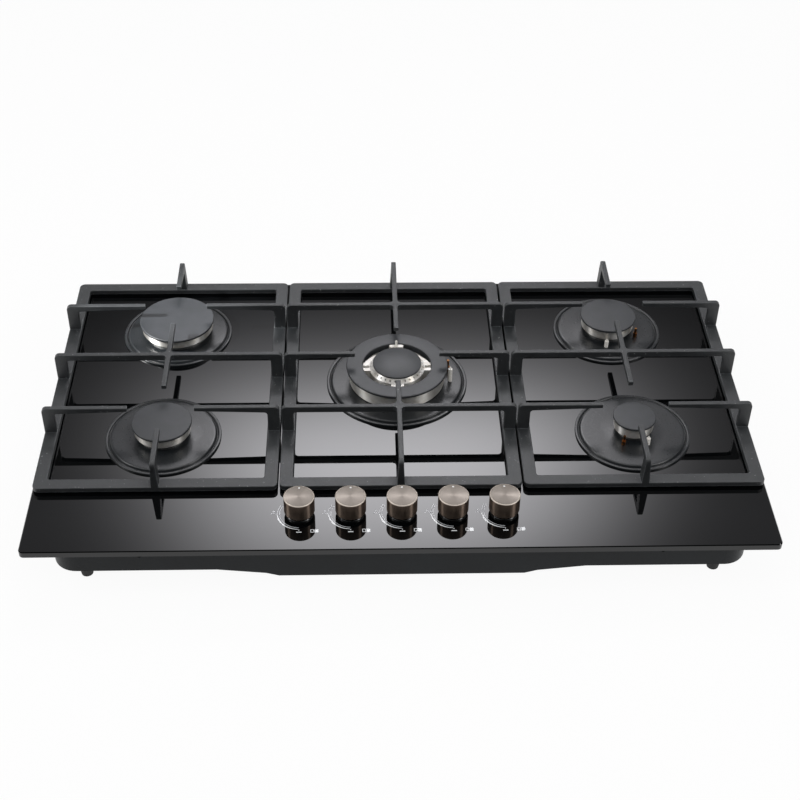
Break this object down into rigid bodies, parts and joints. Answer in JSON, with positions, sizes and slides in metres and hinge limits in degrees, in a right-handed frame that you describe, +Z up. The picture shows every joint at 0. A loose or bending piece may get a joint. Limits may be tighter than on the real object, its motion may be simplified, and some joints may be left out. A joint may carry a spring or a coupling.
{
  "type": "gas cooktop",
  "caption": "Built-in gas cooktop with a black glass panel, lift-off iron pan supports, round burners with loose caps, and a row of press-and-turn knobs along the front.",
  "frame": {"origin": "centre of the footprint, on the ground under the housing's rubber feet", "axes": "+X to the right, +Y to the back, +Z up; the knobs are at the front, -Y"},
  "size_m": [0.86, 0.51, 0.1105],
  "materials": {
    "tempered_glass": "polished black tempered glass",
    "seal_foam": "closed-cell foam",
    "housing_enamel": "satin black paint",
    "foot_rubber": "moulded",
    "pad_rubber": "moulded",
    "drip_enamel": "semi-gloss black enamel",
    "cap_enamel": "matt black enamel",
    "crown_aluminium": "turned and polished",
    "cast_aluminium": "as cast",
    "feed_aluminium": "drawn tube",
    "rail_steel": "zinc plated",
    "zinc_steel": "zinc plated",
    "spring_steel": "spring wire",
    "jet_brass": "machined",
    "probe_copper": "copper",
    "electrode_ceramic": "fired white ceramic",
    "black_plastic": "moulded",
    "switch_plastic": "moulded",
    "bezel_plastic": "moulded",
    "knob_metal": "spun top with a dark bronze coating on the side",
    "cast_iron": "matt black enamelled"
  },
  "bodies": {
    "root": {"glass_top": "tempered_glass", "panel_seal": "seal_foam", "bottom_housing": "housing_enamel", "housing_feet": "foot_rubber", "drip_rings": "drip_enamel", "drip_ring_centre": "drip_enamel", "injectors": "jet_brass", "ignition_electrodes": "electrode_ceramic", "thermocouples": "probe_copper", "tap_bodies": "cast_aluminium", "tap_covers": "cast_aluminium", "gas_rail": "rail_steel", "feed_tubes": "feed_aluminium", "spark_generator": "black_plastic", "battery_box": "black_plastic", "ignition_switches": "switch_plastic", "fixing_screws": "zinc_steel", "knob_bezels": "bezel_plastic", "burner_cup_back_left": "cast_aluminium", "burner_cup_front_left": "cast_aluminium", "burner_cup_centre": "cast_aluminium", "burner_cup_back_right": "cast_aluminium", "burner_cup_front_right": "cast_aluminium"},
    "support_left": {"pan_support_left": "cast_iron", "support_feet_left": "pad_rubber"},
    "support_centre": {"pan_support_centre": "cast_iron", "support_feet_centre": "pad_rubber"},
    "support_right": {"pan_support_right": "cast_iron", "support_feet_right": "pad_rubber"},
    "crown_back_left": {"burner_crown_back_left": "crown_aluminium"},
    "crown_front_left": {"burner_crown_front_left": "crown_aluminium"},
    "crown_centre": {"burner_crown_centre": "crown_aluminium"},
    "crown_back_right": {"burner_crown_back_right": "crown_aluminium"},
    "crown_front_right": {"burner_crown_front_right": "crown_aluminium"},
    "cap_back_left": {"burner_cap_back_left": "cap_enamel"},
    "cap_front_left": {"burner_cap_front_left": "cap_enamel"},
    "cap_back_right": {"burner_cap_back_right": "cap_enamel"},
    "cap_front_right": {"burner_cap_front_right": "cap_enamel"},
    "cap_centre_outer": {"burner_cap_centre_outer": "cap_enamel"},
    "cap_centre_inner": {"burner_cap_centre_inner": "cap_enamel"},
    "tap_1": {"tap_plug_1": "jet_brass", "return_spring_1": "spring_steel"},
    "knob_1": {"spindle_1": "zinc_steel", "knob_1": "knob_metal"},
    "tap_2": {"tap_plug_2": "jet_brass", "return_spring_2": "spring_steel"},
    "knob_2": {"spindle_2": "zinc_steel", "knob_2": "knob_metal"},
    "tap_3": {"tap_plug_3": "jet_brass", "return_spring_3": "spring_steel"},
    "knob_3": {"spindle_3": "zinc_steel", "knob_3": "knob_metal"},
    "tap_4": {"tap_plug_4": "jet_brass", "return_spring_4": "spring_steel"},
    "knob_4": {"spindle_4": "zinc_steel", "knob_4": "knob_metal"},
    "tap_5": {"tap_plug_5": "jet_brass", "return_spring_5": "spring_steel"},
    "knob_5": {"spindle_5": "zinc_steel", "knob_5": "knob_metal"}
  },
  "joints": [
    {"name": "knob_turn_1", "type": "hinge", "parent": "root", "child": "tap_1", "pos_m": [-0.1176, -0.1972, 0.0645], "axis": [0, 0, 1], "range_deg": [0, 180]},
    {"name": "knob_press_1", "type": "slide", "parent": "tap_1", "child": "knob_1", "axis": [0, 0, -1], "range_m": [0, 0.0035], "stiffness_N_per_m": 800, "springref_m": -0.006, "deforming": ["return_spring_1"]},
    {"name": "knob_turn_2", "type": "hinge", "parent": "root", "child": "tap_2", "pos_m": [-0.0588, -0.1972, 0.0645], "axis": [0, 0, 1], "range_deg": [0, 180]},
    {"name": "knob_press_2", "type": "slide", "parent": "tap_2", "child": "knob_2", "axis": [0, 0, -1], "range_m": [0, 0.0035], "stiffness_N_per_m": 800, "springref_m": -0.006, "deforming": ["return_spring_2"]},
    {"name": "knob_turn_3", "type": "hinge", "parent": "root", "child": "tap_3", "pos_m": [0, -0.1972, 0.0645], "axis": [0, 0, 1], "range_deg": [0, 180]},
    {"name": "knob_press_3", "type": "slide", "parent": "tap_3", "child": "knob_3", "axis": [0, 0, -1], "range_m": [0, 0.0035], "stiffness_N_per_m": 800, "springref_m": -0.006, "deforming": ["return_spring_3"]},
    {"name": "knob_turn_4", "type": "hinge", "parent": "root", "child": "tap_4", "pos_m": [0.0588, -0.1972, 0.0645], "axis": [0, 0, 1], "range_deg": [0, 180]},
    {"name": "knob_press_4", "type": "slide", "parent": "tap_4", "child": "knob_4", "axis": [0, 0, -1], "range_m": [0, 0.0035], "stiffness_N_per_m": 800, "springref_m": -0.006, "deforming": ["return_spring_4"]},
    {"name": "knob_turn_5", "type": "hinge", "parent": "root", "child": "tap_5", "pos_m": [0.1176, -0.1972, 0.0645], "axis": [0, 0, 1], "range_deg": [0, 180]},
    {"name": "knob_press_5", "type": "slide", "parent": "tap_5", "child": "knob_5", "axis": [0, 0, -1], "range_m": [0, 0.0035], "stiffness_N_per_m": 800, "springref_m": -0.006, "deforming": ["return_spring_5"]},
    {"name": "support_left_lift", "type": "slide", "parent": "root", "child": "support_left", "axis": [0, 0, 1], "range_m": [0, 0.08]},
    {"name": "support_centre_lift", "type": "slide", "parent": "root", "child": "support_centre", "axis": [0, 0, 1], "range_m": [0, 0.08]},
    {"name": "support_right_lift", "type": "slide", "parent": "root", "child": "support_right", "axis": [0, 0, 1], "range_m": [0, 0.08]},
    {"name": "crown_back_left_lift", "type": "slide", "parent": "root", "child": "crown_back_left", "axis": [0, 0, 1], "range_m": [0, 0.01]},
    {"name": "crown_front_left_lift", "type": "slide", "parent": "root", "child": "crown_front_left", "axis": [0, 0, 1], "range_m": [0, 0.01]},
    {"name": "crown_centre_lift", "type": "slide", "parent": "root", "child": "crown_centre", "axis": [0, 0, 1], "range_m": [0, 0.007]},
    {"name": "crown_back_right_lift", "type": "slide", "parent": "root", "child": "crown_back_right", "axis": [0, 0, 1], "range_m": [0, 0.01]},
    {"name": "crown_front_right_lift", "type": "slide", "parent": "root", "child": "crown_front_right", "axis": [0, 0, 1], "range_m": [0, 0.03]},
    {"name": "cap_back_left_lift", "type": "slide", "parent": "crown_back_left", "child": "cap_back_left", "axis": [0, 0, 1], "range_m": [0, 0.01]},
    {"name": "cap_front_left_lift", "type": "slide", "parent": "crown_front_left", "child": "cap_front_left", "axis": [0, 0, 1], "range_m": [0, 0.01]},
    {"name": "cap_back_right_lift", "type": "slide", "parent": "crown_back_right", "child": "cap_back_right", "axis": [0, 0, 1], "range_m": [0, 0.01]},
    {"name": "cap_front_right_lift", "type": "slide", "parent": "crown_front_right", "child": "cap_front_right", "axis": [0, 0, 1], "range_m": [0, 0.05]},
    {"name": "cap_centre_outer_lift", "type": "slide", "parent": "crown_centre", "child": "cap_centre_outer", "axis": [0, 0, 1], "range_m": [0, 0.007]},
    {"name": "cap_centre_inner_lift", "type": "slide", "parent": "crown_centre", "child": "cap_centre_inner", "axis": [0, 0, 1], "range_m": [0, 0.05]}
  ]
}
